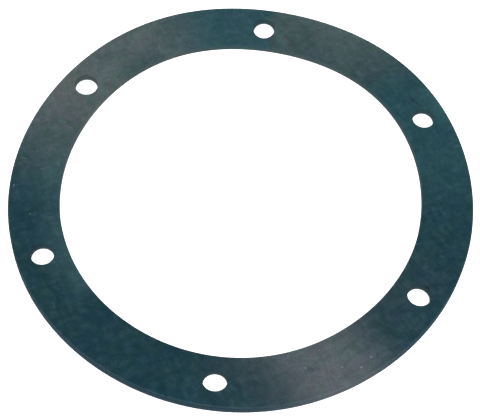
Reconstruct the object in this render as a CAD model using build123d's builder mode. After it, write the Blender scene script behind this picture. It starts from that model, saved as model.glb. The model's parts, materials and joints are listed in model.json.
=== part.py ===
from build123d import *
import os

# Flat rubber flange gasket: one ring die-cut from sheet, with a circle of bolt holes through its band.
# Millimetres. The ring lies on Z = 0, with the centre of its lower face at the origin.

# The ring
outer_diameter = 140.0
bore_diameter = 110.0
sheet_thickness = 2.5

# The bolt holes, which run down the middle of the band
bolt_count = 6
bolt_hole_diameter = 7.0  # clears an M6 bolt
bolt_circle_diameter = (outer_diameter + bore_diameter) / 2
first_bolt_angle = 30.0  # degrees from +X, which puts a hole on +Y and one on -Y

# The cutting die enters through the upper face. Its ring knives draw the rubber down into a small round
# along the rim and the bore, and its hollow punches leave a slight bevel around each hole. It leaves
# through the lower face, where every edge stays crisp.
knife_round = 0.2
punch_bevel = 0.2

os.makedirs("parts", exist_ok=True)

with BuildPart() as gasket:
    # the blank: everything that the die cuts in one stroke
    with BuildSketch() as blank:
        Circle(outer_diameter / 2)
        Circle(bore_diameter / 2, mode=Mode.SUBTRACT)
        with PolarLocations(bolt_circle_diameter / 2, bolt_count, start_angle=first_bolt_angle):
            Circle(bolt_hole_diameter / 2, mode=Mode.SUBTRACT)
    extrude(amount=sheet_thickness)

    # the circles of the upper face: the bolt holes have the smallest radius, then come bore and rim
    upper_cuts = gasket.edges().filter_by(GeomType.CIRCLE).group_by(Axis.Z)[-1]
    hole_cuts, bore_cut, rim_cut = upper_cuts.group_by(SortBy.RADIUS)
    chamfer(hole_cuts, length=punch_bevel)
    fillet(bore_cut + rim_cut, radius=knife_round)

gasket.part.label = "gasket_ring"
export_step(gasket.part, "parts/gasket_ring.step")
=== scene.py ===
import bpy
import bmesh
import json
import math
from mathutils import Matrix, Vector


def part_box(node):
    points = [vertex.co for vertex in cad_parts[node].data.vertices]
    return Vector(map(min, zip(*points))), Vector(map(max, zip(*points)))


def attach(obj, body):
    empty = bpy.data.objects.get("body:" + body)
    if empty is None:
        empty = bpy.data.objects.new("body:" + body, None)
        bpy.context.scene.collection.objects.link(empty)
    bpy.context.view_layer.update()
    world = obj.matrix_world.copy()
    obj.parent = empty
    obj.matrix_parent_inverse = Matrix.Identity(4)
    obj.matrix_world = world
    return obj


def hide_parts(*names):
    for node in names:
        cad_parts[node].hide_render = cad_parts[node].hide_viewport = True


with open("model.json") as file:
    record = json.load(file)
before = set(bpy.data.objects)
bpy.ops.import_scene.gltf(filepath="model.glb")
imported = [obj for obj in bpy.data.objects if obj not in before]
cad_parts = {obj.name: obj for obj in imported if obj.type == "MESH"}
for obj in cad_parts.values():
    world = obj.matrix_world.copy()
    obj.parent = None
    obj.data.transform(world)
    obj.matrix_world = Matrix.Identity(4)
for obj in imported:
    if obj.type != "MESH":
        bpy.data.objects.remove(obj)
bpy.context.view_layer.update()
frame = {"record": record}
mm = 0.001

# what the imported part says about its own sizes
mounts = {m["name"]: m for m in frame["record"]["mounts"]}
low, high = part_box("gasket_ring")
rimRadius = high.y
boreRadius = mounts["bore"]["dims"]["r_mm"] * mm
thickness = high.z - low.z
holeRadius = mounts["bolt_circle"]["dims"]["hole_r_mm"] * mm
holeCount = mounts["bolt_circle"]["dims"]["count"]
midRadius = mounts["bolt_circle"]["dims"]["pcd_mm"] * mm / 2
bandWidth = rimRadius - boreRadius
# the first hole is where its opening stands
firstBox = frame["record"]["physics"]["openings"][0]["box_m"]
firstHole = math.atan2(firstBox[0][1] + firstBox[1][1], firstBox[0][0] + firstBox[1][0])
print("frame read: ring", round(rimRadius / mm, 1), "mm radius,", round(thickness / mm, 2), "mm thick")


# the ring, as the die leaves it
ring = {
    "bandCells": 16,  # quads across the band, even so that the bolt circle runs on an edge
    "cellsPerHole": 70,  # quads along the band from one hole to the next
    "windowCells": 6,  # quads cleared each way from a hole's centre
    "collarCuts": 2,  # loops cut into the collar of quads between a hole and its window
    "merge": 0.001 * mm,  # doubles closer than this become one
    "border": 0.28 * mm,  # support loop beside every cut, so the flat stays flat
    "springBack": 0.05 * mm,  # rubber closes in on a hole once the punch has gone
    "punchTaper": 0.15 * mm,  # and more so towards the side that the punch leaves
    "knifeRound": (0.2 * mm, 3),  # drawn-in edge on the knife's side: width and steps
    "exitRound": (0.05 * mm, 1),  # crisp edge on the other side
    "wallCuts": 2,  # loops cut round each wall
    "wallNormal": 0.5,  # a face is part of a cut wall when its normal rises less than this
    "skinNormal": 0.7,  # the skin runs on over the edge until its normal rises less than this
}

# soft sheet gives under a punch: each hole's stretch across and along the band, and its drift out and on
punched = [
    {"across": 0.99, "along": 1.035, "out": 0.01 * mm, "on": -0.19 * mm},
    {"across": 1.10, "along": 1.04, "out": -0.12 * mm, "on": -0.59 * mm},
    {"across": 1.07, "along": 1.07, "out": 0.08 * mm, "on": -0.05 * mm},
    {"across": 0.98, "along": 0.99, "out": -0.09 * mm, "on": -0.18 * mm},
    {"across": 0.91, "along": 0.985, "out": -0.19 * mm, "on": 0.53 * mm},
    {"across": 0.97, "along": 0.945, "out": 0.11 * mm, "on": 0.48 * mm},
]

# a loose ring is neither quite flat nor quite round. Each wave: its count round the ring, size, peak azimuth
loose = {
    "lean": [(0, 4.9, 0), (1, 2.8, 187), (2, 2.1, 88)],  # degrees, outer edge up
    "outOfRound": [(2, 0.52, 95), (3, 0.26, 24), (4, 0.24, 35), (5, 0.19, 51), (6, 0.07, 50)],  # mm
    "softness": 0.02,  # eases the change from lying on the outer edge to lying on the inner one
}


def waves(terms, azimuth):
    return sum(size * math.cos(count * (azimuth - math.radians(peak))) for count, size, peak in terms)


def slide(azimuth):
    # a ring that goes out of round without stretching also shifts along itself
    return -sum(size / count * math.sin(count * (azimuth - math.radians(peak)))
                for count, size, peak in loose["outOfRound"])


def flatBand():
    # an edge across the band, midway between two holes, cut into cells and spun once round the axis
    bm = bmesh.new()
    start = Matrix.Rotation(firstHole + math.pi / holeCount, 4, "Z")
    ends = [bm.verts.new(start @ Vector((r, 0, 0))) for r in (boreRadius, rimRadius)]
    across = bm.edges.new(ends)
    bmesh.ops.subdivide_edges(bm, edges=[across], cuts=ring["bandCells"] - 1)
    bmesh.ops.spin(bm, geom=bm.verts[:] + bm.edges[:], axis=(0, 0, 1), cent=(0, 0, 0),
                   angle=2 * math.pi, steps=ring["cellsPerHole"] * holeCount, use_merge=True)
    return bm


def holePlace(index):
    # a unit circle put through this becomes the hole, its X across the band
    hole = punched[index]
    azimuth = firstHole + 2 * math.pi * index / holeCount
    radius = holeRadius - ring["springBack"]
    return (Matrix.Rotation(azimuth, 4, "Z") @ Matrix.Translation((midRadius + hole["out"], hole["on"], 0))
            @ Matrix.Diagonal((radius * hole["across"], radius * hole["along"], 1, 1)))


def cutHole(bm, index):
    # clear a window of cells and bridge its border to the hole
    azimuth = firstHole + 2 * math.pi * index / holeCount
    window = ring["windowCells"]
    cellWidth = bandWidth / ring["bandCells"]
    cellAngle = 2 * math.pi / (ring["cellsPerHole"] * holeCount)
    inside = []
    for face in bm.faces:
        middle = face.calc_center_median()
        turn = math.remainder(math.atan2(middle.y, middle.x) - azimuth, 2 * math.pi)
        if abs(turn) < window * cellAngle and abs(middle.xy.length - midRadius) < window * cellWidth:
            inside.append(face)
    border = {e for f in inside for e in f.edges if sum(g in inside for g in e.link_faces) == 1}
    bmesh.ops.delete(bm, geom=inside, context="FACES")
    circle = bmesh.ops.create_circle(bm, segments=8 * window, radius=1, matrix=holePlace(index))
    cut = {e for v in circle["verts"] for e in v.link_edges}
    bridge = bmesh.ops.bridge_loops(bm, edges=list(border | cut))
    spokes = {e for f in bridge["faces"] for e in f.edges} - border - cut
    bmesh.ops.subdivide_edges(bm, edges=list(spokes), cuts=ring["collarCuts"], use_grid_fill=True)


def giveThickness(bm):
    bmesh.ops.remove_doubles(bm, verts=bm.verts, dist=ring["merge"])
    bmesh.ops.recalc_face_normals(bm, faces=bm.faces)
    bmesh.ops.inset_region(bm, faces=bm.faces[:], thickness=ring["border"], use_boundary=True,
                           use_even_offset=True)
    bmesh.ops.solidify(bm, geom=bm.faces[:], thickness=thickness)
    base = min(v.co.z for v in bm.verts)
    bmesh.ops.translate(bm, verts=bm.verts, vec=(0, 0, -base))
    bmesh.ops.recalc_face_normals(bm, faces=bm.faces)


def onWall(face):
    return abs(face.normal.z) < ring["wallNormal"]


def taperHoles(bm):
    narrower = 1 - ring["punchTaper"] / holeRadius
    reach = 1.5 * holeRadius  # takes in a stretched hole, and stays clear of the rim and the bore
    for index in range(holeCount):
        centre = holePlace(index).translation
        near = [v for v in bm.verts if (v.co.xy - centre.xy).length < reach]
        wall = [v for v in near if any(onWall(f) for f in v.link_faces)]
        lower = [v for v in wall if v.co.z < thickness / 2]
        bmesh.ops.scale(bm, vec=(narrower, narrower, 1), space=Matrix.Translation(-centre), verts=lower)


def cutEdges(bm, top):
    # the edges where a face meets a cut wall, on one side of the sheet
    found = []
    for edge in bm.edges:
        upright = [onWall(f) for f in edge.link_faces]
        if any(upright) and not all(upright) and (edge.verts[0].co.z > thickness / 2) == top:
            found.append(edge)
    return found


def finishWalls(bm):
    bm.normal_update()
    walls = [e for e in bm.edges if abs(e.verts[0].co.z - e.verts[1].co.z) > thickness / 2]
    bmesh.ops.subdivide_edges(bm, edges=walls, cuts=ring["wallCuts"], use_grid_fill=True)
    for top, (width, steps) in ((True, ring["knifeRound"]), (False, ring["exitRound"])):
        bm.normal_update()
        bmesh.ops.bevel(bm, geom=cutEdges(bm, top), offset=width, segments=steps, profile=0.5,
                        affect="EDGES", material=-1)
    bm.normal_update()


def layLoose(bm):
    # turn every cross-section by the band's lean, with its lower edge kept on the floor
    for vert in bm.verts:
        azimuth = math.atan2(vert.co.y, vert.co.x)
        slope = math.radians(waves(loose["lean"], azimuth))
        out = vert.co.xy.length - midRadius
        up = vert.co.z
        rise = bandWidth / 2 * math.hypot(math.sin(slope), loose["softness"])
        radius = midRadius + out * math.cos(slope) - up * math.sin(slope)
        radius += waves(loose["outOfRound"], azimuth) * mm
        height = rise + out * math.sin(slope) + up * math.cos(slope)
        azimuth += slide(azimuth) * mm / midRadius
        vert.co = (radius * math.cos(azimuth), radius * math.sin(azimuth), height)
    lowest = min(v.co.z for v in bm.verts)
    bmesh.ops.translate(bm, verts=bm.verts, vec=(0, 0, -lowest))


def wallIndex(face):
    # the slots that cutWalls fills: 1 for the rim, 2 for the bore, 3 for the holes
    outward = face.calc_center_median().xy.length - midRadius
    if abs(outward) < 0.4 * bandWidth:  # the holes keep well clear of the band's edges
        return 3
    return 1 if outward > 0 else 2


def makeGasket():
    bm = flatBand()
    for index in range(holeCount):
        cutHole(bm, index)
    giveThickness(bm)
    taperHoles(bm)
    finishWalls(bm)
    for face in bm.faces:
        face.smooth = True
        if abs(face.normal.z) < ring["skinNormal"]:
            face.material_index = wallIndex(face)
    flatPlace = bm.verts.layers.float_vector.new("flatPlace")  # wear follows the sheet, not the room
    for vert in bm.verts:
        vert[flatPlace] = vert.co
    layLoose(bm)
    bm.normal_update()
    mesh = bpy.data.meshes.new("gasketSheet")
    bm.to_mesh(mesh)
    bm.free()
    piece = bpy.data.objects.new("gasketSheet", mesh)
    bpy.context.scene.collection.objects.link(piece)
    return piece


def linear(hexColour):
    # sRGB hex to the linear colour that a shader takes
    channels = [int(hexColour[i:i + 2], 16) / 255 for i in (1, 3, 5)]
    return tuple(c / 12.92 if c <= 0.04045 else ((c + 0.055) / 1.055) ** 2.4 for c in channels) + (1.0,)


def addNode(tree, kind, inputs, **settings):
    # one node with its settings; an input takes a value, or the node or socket that feeds it
    node = tree.nodes.new(kind)
    for name, value in settings.items():
        setattr(node, name, value)
    for name, value in inputs.items():
        if isinstance(value, bpy.types.Node):
            value = next(o for o in value.outputs if o.enabled)
        if isinstance(value, bpy.types.NodeSocket):
            tree.links.new(value, node.inputs[name])
        else:
            node.inputs[name].default_value = value
    return node


def newMaterial(name):
    material = bpy.data.materials.new(name)
    material.use_nodes = True
    material.node_tree.nodes.clear()
    return material, material.node_tree


noiseSpan = (0.3, 0.7)  # nearly all of a noise texture's values lie between these

# calendered rubber sheet: almost black with a blue-green cast, nearly matt, wiped and handled, with pale
# patches that are partly wax and chalk bloom come to the surface and partly painted sheen where the studio
# light reflects off the wavy band
sheetRubber = {
    "blueFace": "#062c37",
    "greenFace": "#0d2e33",
    "hueSize": 6 * mm,  # patches of bluer and greener skin
    "hueSpan": (0.38, 0.62),
    "casts": ("#edfff4", "#fff3ff"),  # a green or a violet cast over it all
    "castSize": 3.5 * mm,
    "castSpan": (0.35, 0.65),
    "cloudSize": 20 * mm,  # broad light and dark from the calender rolls
    "cloudRange": (0.98, 1.1),
    "warpSize": 11 * mm,  # the wipe marks swing about
    "warpReach": 9 * mm,
    "wipeSize": (7.0 * mm, 1.5 * mm),  # length and width of the wipe marks
    "wipeTurns": (30, -55),  # degrees
    "wipeRange": (0.92, 1.08),
    "mottle": 2.5 * mm,  # blotches
    "mottleRange": (0.96, 1.04),
    "grain": 0.3 * mm,  # the real grain is finer, too fine to show
    "grainRange": (0.81, 1.19),
    "grainHeight": 0.02 * mm,
    "grainBump": 0.5,
    "film": {"tint": "#626c74", "mean": 0.026, "range": (0.35, 1.65)},  # thin wax, thickest in the wipe marks
    "roughness": 0.6,
    "ior": 1.52,
    "specular": 0.085,
    "arrisHighlight": {"from": 0.5 * mm, "to": 0.15 * mm, "strength": 0.17, "tint": "#4c5f68"},  # painted highlight along the rim's arris
    "seam": 240,  # degrees: where the band's own coordinates start and end, away from the painted sheen and blooms
}

# the borders of the pale patches, painted sheen and blooms alike, wander, and their strength is patchy
bloomAndSheenEdge = {"size": 9 * mm, "reach": 5 * mm, "patchSize": 4 * mm, "patchRange": (0.85, 1.1)}

# pale patches, partly painted sheen from the studio light and partly thin wax films and chalky blooms:
# azimuths and fades in degrees, strengths at the bore and at the rim. One below 0 only sets how far across
# the band the patch reaches
bloomsAndSheen = [
    {"from": 350, "to": 54, "fadeIn": 26, "fadeOut": 8, "bore": 0.9, "rim": 0.9, "tint": "#163a41"},
    {"from": 84, "to": 128, "fadeIn": 6, "fadeOut": 20, "bore": 1.0, "rim": 1.0, "tint": "#1e3e45"},
    {"from": 168, "to": 200, "fadeIn": 10, "fadeOut": 16, "bore": 1.1, "rim": 0.0, "tint": "#244046"},
    {"from": 186, "to": 232, "fadeIn": 18, "fadeOut": 12, "bore": 1.1, "rim": -0.7, "tint": "#244046"},
    {"from": 262, "to": 348, "fadeIn": 12, "fadeOut": 24, "bore": 0.8, "rim": 0.15, "tint": "#21333a"},
    {"from": 22, "to": 42, "fadeIn": 8, "fadeOut": 8, "bore": -1.0, "rim": 1.0, "tint": "#24484c"},
    {"from": 38, "to": 90, "fadeIn": 26, "fadeOut": 5, "bore": 0.6, "rim": 1.0, "tint": "#394849"},
    {"from": 103, "to": 191, "fadeIn": 26, "fadeOut": 32, "bore": 0.93, "rim": 0.95, "tint": "#434e4f"},
    {"from": 122, "to": 143, "fadeIn": 5, "fadeOut": 8, "bore": 1.5, "rim": -2.2, "tint": "#304245"},
    {"from": 142, "to": 164, "fadeIn": 9, "fadeOut": 9, "bore": 0.1, "rim": 0.9, "tint": "#4c5150"},
    {"from": 276, "to": 320, "fadeIn": 24, "fadeOut": 20, "bore": 0.77, "rim": 1.1, "tint": "#4c5256"},
    {"from": 273, "to": 296, "fadeIn": 10, "fadeOut": 10, "bore": 0.35, "rim": -0.3, "tint": "#4d5457"},
]

# short scratches, scuffs, a patch of painted shade at a hole's edge, and dust: azimuth and turn in degrees,
# radius, length and width in mm
marks = [
    {"azimuth": 179.3, "radius": 67.6, "length": 3.4, "width": 0.4, "turn": -79, "tint": "#3e4c4e"},
    {"azimuth": 182.0, "radius": 61.2, "length": 2.4, "width": 0.4, "turn": -70, "tint": "#3a494c"},
    {"azimuth": 180.6, "radius": 64.4, "length": 9.0, "width": 0.35, "turn": -79, "tint": "#304246"},
    {"azimuth": 166.2, "radius": 66.1, "length": 3.0, "width": 0.25, "turn": 40, "tint": "#545c5b"},
    {"azimuth": 35.8, "radius": 63.4, "length": 6.5, "width": 0.9, "turn": -15, "tint": "#11262e"},
    # painted shade: a near-black patch at the upper edge of a hole, where the hole's wall lies in shade
    {"azimuth": 333.4, "radius": 63.1, "length": 2.6, "width": 1.0, "turn": -84, "tint": "#03080b"},
    {"azimuth": 294.2, "radius": 62.0, "length": 2.8, "width": 2.2, "turn": 0, "tint": "#343f47"},
    {"azimuth": 293.4, "radius": 61.0, "length": 0.6, "width": 0.5, "turn": 0, "tint": "#666f73"},
    {"azimuth": 301.9, "radius": 64.5, "length": 0.7, "width": 0.5, "turn": 0, "tint": "#626b70"},
    {"azimuth": 305.8, "radius": 67.0, "length": 0.8, "width": 0.5, "turn": 0, "tint": "#6a7277"},
    {"azimuth": 309.3, "radius": 66.0, "length": 0.7, "width": 0.5, "turn": 0, "tint": "#626b70"},
    {"azimuth": 187.8, "radius": 68.7, "length": 0.9, "width": 0.5, "turn": 0, "tint": "#4f6064"},
    {"azimuth": 196.7, "radius": 63.7, "length": 0.7, "width": 0.5, "turn": 0, "tint": "#4a5f64"},
]
markStrength = 0.8
markFade = (0.3, 1.3)  # full inside the first share of its half size, gone at the second


def alongBand(azimuth):
    # arc length from the point opposite the seam
    return math.radians((azimuth - sheetRubber["seam"]) % 360 - 180) * midRadius


def bandCoordinates(tree):
    # where a point was on the flat sheet, how far along the band and how far from the axis, in metres
    place = addNode(tree, "ShaderNodeAttribute", {}, attribute_name="flatPlace").outputs["Vector"]
    opposite = math.radians(sheetRubber["seam"] - 180)
    turned = addNode(tree, "ShaderNodeMapping", {"Vector": place, "Rotation": (0, 0, -opposite)})
    split = addNode(tree, "ShaderNodeSeparateXYZ", {0: turned})
    azimuth = addNode(tree, "ShaderNodeMath", {0: split.outputs[1], 1: split.outputs[0]}, operation="ARCTAN2")
    along = addNode(tree, "ShaderNodeMath", {0: azimuth, 1: midRadius}, operation="MULTIPLY")
    radius = addNode(tree, "ShaderNodeVectorMath", {0: turned}, operation="LENGTH")
    return place, along, radius


def spread(tree, value, low, high, fromLow=0.0, fromHigh=1.0, smooth=False):
    return addNode(tree, "ShaderNodeMapRange",
                   {"Value": value, "From Min": fromLow, "From Max": fromHigh, "To Min": low, "To Max": high},
                   interpolation_type="SMOOTHSTEP" if smooth else "LINEAR")


def multiply(tree, *values):
    product = values[0]
    for value in values[1:]:
        product = addNode(tree, "ShaderNodeMath", {0: product, 1: value}, operation="MULTIPLY")
    return product


def skinTone(tree, place, along, radius):
    # bluer and greener patches
    look = sheetRubber
    hue = addNode(tree, "ShaderNodeTexNoise", {"Vector": place, "Scale": 1 / look["hueSize"], "Detail": 4.0})
    hueMix = spread(tree, hue, 0, 1, *look["hueSpan"])
    tone = addNode(tree, "ShaderNodeMix",
                   {0: hueMix, 6: linear(look["blueFace"]), 7: linear(look["greenFace"])}, data_type="RGBA")

    # pale patches: painted sheen, with wax and chalk blooms
    edge = bloomAndSheenEdge
    wander = addNode(tree, "ShaderNodeTexNoise", {"Vector": place, "Scale": 1 / edge["size"], "Detail": 3.0})
    shift = spread(tree, wander, -edge["reach"], edge["reach"])
    wandering = addNode(tree, "ShaderNodeMath", {0: along, 1: shift}, operation="ADD")
    patchy = addNode(tree, "ShaderNodeTexNoise",
                     {"Vector": place, "Scale": 1 / edge["patchSize"], "Detail": 5.0})
    patchyStrength = spread(tree, patchy, *edge["patchRange"], *noiseSpan)
    for palePatch in bloomsAndSheen:
        begin, end = alongBand(palePatch["from"]), alongBand(palePatch["to"])
        fadeIn, fadeOut = (math.radians(palePatch[k]) * midRadius for k in ("fadeIn", "fadeOut"))
        rising = spread(tree, wandering, 0, 1, begin, begin + fadeIn, True)
        falling = spread(tree, wandering, 1, 0, end - fadeOut, end, True)
        across = spread(tree, radius, palePatch["bore"], palePatch["rim"], boreRadius, rimRadius)
        strength = multiply(tree, rising, falling, across, patchyStrength)
        tone = addNode(tree, "ShaderNodeMix", {0: strength, 6: tone.outputs[2], 7: linear(palePatch["tint"])},
                       data_type="RGBA")

    # the cast
    green, violet = look["casts"]
    cast = addNode(tree, "ShaderNodeTexNoise",
                   {"Vector": place, "Scale": 1 / look["castSize"], "Detail": 4.0, "Roughness": 0.65})
    castMix = spread(tree, cast, 0, 1, *look["castSpan"])
    castColour = addNode(tree, "ShaderNodeMix", {0: castMix, 6: linear(green), 7: linear(violet)},
                         data_type="RGBA")
    return addNode(tree, "ShaderNodeMix", {0: 1.0, 6: tone.outputs[2], 7: castColour.outputs[2]},
                   data_type="RGBA", blend_type="MULTIPLY")


def makeRubber():
    look = sheetRubber
    material, tree = newMaterial("calenderedSheetRubber")
    place, along, radius = bandCoordinates(tree)
    tone = skinTone(tree, place, along, radius)

    # the rim's arris: a painted highlight line along it
    arrisHighlight = look["arrisHighlight"]
    strength = spread(tree, radius, 0, arrisHighlight["strength"],
                      rimRadius - arrisHighlight["from"], rimRadius - arrisHighlight["to"])
    tone = addNode(tree, "ShaderNodeMix", {0: strength, 6: tone.outputs[2], 7: linear(arrisHighlight["tint"])},
                   data_type="RGBA")

    bandPlace = addNode(tree, "ShaderNodeCombineXYZ", {0: along, 1: radius})
    for mark in marks:
        middle = (alongBand(mark["azimuth"]), mark["radius"] * mm, 0)
        halves = (mark["length"] * mm / 2, mark["width"] * mm / 2, 1)
        local = addNode(tree, "ShaderNodeMapping",
                        {"Vector": bandPlace, "Location": middle,
                         "Rotation": (0, 0, math.radians(mark["turn"])), "Scale": halves},
                        vector_type="TEXTURE")
        away = addNode(tree, "ShaderNodeVectorMath", {0: local}, operation="LENGTH")
        strength = spread(tree, away, markStrength, 0, *markFade, True)
        tone = addNode(tree, "ShaderNodeMix", {0: strength, 6: tone.outputs[2], 7: linear(mark["tint"])},
                       data_type="RGBA")

    # light and dark: clouds, wipe marks that swing about, blotches and grain
    cloud = addNode(tree, "ShaderNodeTexNoise",
                    {"Vector": place, "Scale": 1 / look["cloudSize"], "Detail": 2.0})
    light = spread(tree, cloud, *look["cloudRange"], *noiseSpan)
    swing = addNode(tree, "ShaderNodeTexNoise",
                    {"Vector": place, "Scale": 1 / look["warpSize"], "Detail": 2.0})
    reach = addNode(tree, "ShaderNodeVectorMath", {0: swing.outputs["Color"], 3: look["warpReach"]},
                    operation="SCALE")
    warped = addNode(tree, "ShaderNodeVectorMath", {0: place, 1: reach}, operation="ADD")
    length, width = look["wipeSize"]
    film = look["film"]
    thick = film["mean"]
    for turn in look["wipeTurns"]:
        turned = addNode(tree, "ShaderNodeMapping",
                         {"Vector": warped, "Rotation": (0, 0, math.radians(turn)),
                          "Scale": (length, width, width)}, vector_type="TEXTURE")
        wipe = addNode(tree, "ShaderNodeTexNoise", {"Vector": turned, "Scale": 1.0, "Detail": 3.0})
        light = multiply(tree, light, spread(tree, wipe, *look["wipeRange"], *noiseSpan))
        thick = multiply(tree, spread(tree, wipe, *film["range"], *noiseSpan), thick)
    mottle = addNode(tree, "ShaderNodeTexNoise",
                     {"Vector": place, "Scale": 1 / look["mottle"], "Detail": 2.0})
    light = multiply(tree, light, spread(tree, mottle, *look["mottleRange"], *noiseSpan))
    grain = addNode(tree, "ShaderNodeTexNoise", {"Vector": place, "Scale": 1 / look["grain"], "Detail": 2.0})
    light = multiply(tree, light, spread(tree, grain, *look["grainRange"], *noiseSpan))

    # the wax film lies thickest in the wipe marks and blotches
    thick = multiply(tree, thick, spread(tree, mottle, *film["range"], *noiseSpan))
    tone = addNode(tree, "ShaderNodeMix", {0: thick, 6: tone.outputs[2], 7: linear(film["tint"])},
                   data_type="RGBA")
    tone = addNode(tree, "ShaderNodeHueSaturation", {"Color": tone.outputs[2], "Value": light})

    relief = addNode(tree, "ShaderNodeBump",
                     {"Height": grain, "Strength": look["grainBump"], "Distance": look["grainHeight"]})
    shader = addNode(tree, "ShaderNodeBsdfPrincipled",
                     {"Base Color": tone, "Roughness": look["roughness"], "IOR": look["ior"],
                      "Specular IOR Level": look["specular"], "Normal": relief})
    addNode(tree, "ShaderNodeOutputMaterial", {0: shader})
    return material


# cut rubber: the section of the sheet, duller than its skin, with the blade's drag marks down it. Each wall
# is a lit or shaded copy of one material, with painted shade for the light that reaches it and a painted glow
# from the bright table, strongest at the lower edge
cutWalls = {
    "outerKnifeCutRubber": {"paintedShade": 0.66, "paintedTableGlow": 0.13, "tint": "#4d5870", "specular": 0.06},
    "innerKnifeCutRubber": {"paintedShade": 0.8, "paintedTableGlow": 0.2, "tint": "#5d5d5b", "specular": 0.06},
    "punchedRubber": {"paintedShade": 0.75, "paintedTableGlow": 0.28, "tint": "#485c62", "specular": 0.08},
}
paintedGlowAbove = 0.25  # share of the painted table glow that is left at the upper edge
cutRoughness = 0.8
drag = {"size": (0.35 * mm, 1.6 * mm), "range": (0.85, 1.2), "height": 0.03 * mm, "bump": 0.4}


def makeCutWall(name):
    look = cutWalls[name]
    material, tree = newMaterial(name)
    place, along, radius = bandCoordinates(tree)
    width, height = drag["size"]
    drawn = addNode(tree, "ShaderNodeMapping", {"Vector": place, "Scale": (width, width, height)},
                    vector_type="TEXTURE")
    marked = addNode(tree, "ShaderNodeTexNoise", {"Vector": drawn, "Scale": 1.0, "Detail": 2.0})
    # painted shade: each wall is darkened or lightened by its own factor for how much light reaches it
    light = multiply(tree, spread(tree, marked, *drag["range"], *noiseSpan), look["paintedShade"])
    tone = addNode(tree, "ShaderNodeHueSaturation",
                   {"Color": skinTone(tree, place, along, radius).outputs[2], "Value": light})
    # painted light: the glow from the bright table, strongest at the lower edge and fading upwards
    level = addNode(tree, "ShaderNodeSeparateXYZ", {0: place}).outputs[2]
    paintedGlow = spread(tree, level, look["paintedTableGlow"], look["paintedTableGlow"] * paintedGlowAbove, 0, thickness)
    tone = addNode(tree, "ShaderNodeMix", {0: paintedGlow, 6: tone, 7: linear(look["tint"])}, data_type="RGBA")
    relief = addNode(tree, "ShaderNodeBump",
                     {"Height": marked, "Strength": drag["bump"], "Distance": drag["height"]})
    shader = addNode(tree, "ShaderNodeBsdfPrincipled",
                     {"Base Color": tone.outputs[2], "Roughness": cutRoughness, "IOR": sheetRubber["ior"],
                      "Specular IOR Level": look["specular"], "Normal": relief})
    addNode(tree, "ShaderNodeOutputMaterial", {0: shader})
    return material


gasket = makeGasket()
gasket.data.materials.append(makeRubber())
for name in cutWalls:
    gasket.data.materials.append(makeCutWall(name))
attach(gasket, "root")
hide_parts("gasket_ring")
print("gasket made:", len(gasket.data.polygons), "faces")


studio = {
    "floorSize": 12.0,
    "floorDrop": 0.02 * mm,  # keeps the floor just clear of the rubber
    "floor": "#f4f4f4",
    "floorGlow": 0.8,  # a translucent table, lit from below
    "room": 1.0,
    "softboxes": [  # name, azimuth, elevation, distance, size, watts
        ("keySoftbox", 20, 55, 1.2, 0.9, 8.0),
        ("lowSoftbox", -35, 12, 1.0, 0.5, 2.0),
    ],
}

view = {
    "azimuth": 6.82,
    "elevation": 58.69,
    "distance": 272.5 * mm,
    "aim": Vector((0.87 * mm, -9.04 * mm, 2.5 * mm)),
    "lens": 69.17,  # mm
    "nearest": 0.01,
}


def makeFloor():
    bm = bmesh.new()
    bmesh.ops.create_grid(bm, x_segments=1, y_segments=1, size=studio["floorSize"] / 2)
    bmesh.ops.translate(bm, verts=bm.verts, vec=(0, 0, -studio["floorDrop"]))
    mesh = bpy.data.meshes.new("floor")
    bm.to_mesh(mesh)
    bm.free()
    floor = bpy.data.objects.new("floor", mesh)
    bpy.context.scene.collection.objects.link(floor)
    material, tree = newMaterial("opalAcrylicTable")
    shader = addNode(tree, "ShaderNodeBsdfPrincipled",
                     {"Base Color": linear(studio["floor"]), "Roughness": 0.9, "Specular IOR Level": 0.1,
                      "Emission Color": (1, 1, 1, 1), "Emission Strength": studio["floorGlow"]})
    addNode(tree, "ShaderNodeOutputMaterial", {0: shader})
    floor.data.materials.append(material)


def lightRoom():
    world = bpy.data.worlds.new("studioRoom")
    bpy.context.scene.world = world
    world.use_nodes = True
    tree = world.node_tree
    tree.nodes.clear()
    room = addNode(tree, "ShaderNodeBackground", {"Color": (1, 1, 1, 1), "Strength": studio["room"]})
    addNode(tree, "ShaderNodeOutputWorld", {0: room})


def skyward(azimuth, elevation):
    turn, tilt = math.radians(azimuth), math.radians(elevation)
    return Vector((math.sin(turn) * math.cos(tilt), -math.cos(turn) * math.cos(tilt), math.sin(tilt)))


def addSoftbox(name, azimuth, elevation, distance, size, watts):
    # a square light on a sphere round the gasket, facing it
    lamp = bpy.data.lights.new(name, "AREA")
    lamp.shape = "SQUARE"
    lamp.size = size
    lamp.energy = watts
    box = bpy.data.objects.new(name, lamp)
    away = skyward(azimuth, elevation)
    box.location = away * distance
    box.rotation_euler = away.to_track_quat("Z", "Y").to_euler()
    bpy.context.scene.collection.objects.link(box)


def addCamera():
    lens = bpy.data.cameras.new("camera")
    lens.lens = view["lens"]
    lens.clip_start = view["nearest"]
    camera = bpy.data.objects.new("camera", lens)
    away = skyward(view["azimuth"], view["elevation"])
    camera.location = view["aim"] + away * view["distance"]
    camera.rotation_euler = away.to_track_quat("Z", "Y").to_euler()
    bpy.context.scene.collection.objects.link(camera)
    bpy.context.scene.camera = camera


makeFloor()
lightRoom()
for softbox in studio["softboxes"]:
    addSoftbox(*softbox)
addCamera()
bpy.context.scene.view_settings.view_transform = "Standard"
print("stage lit")
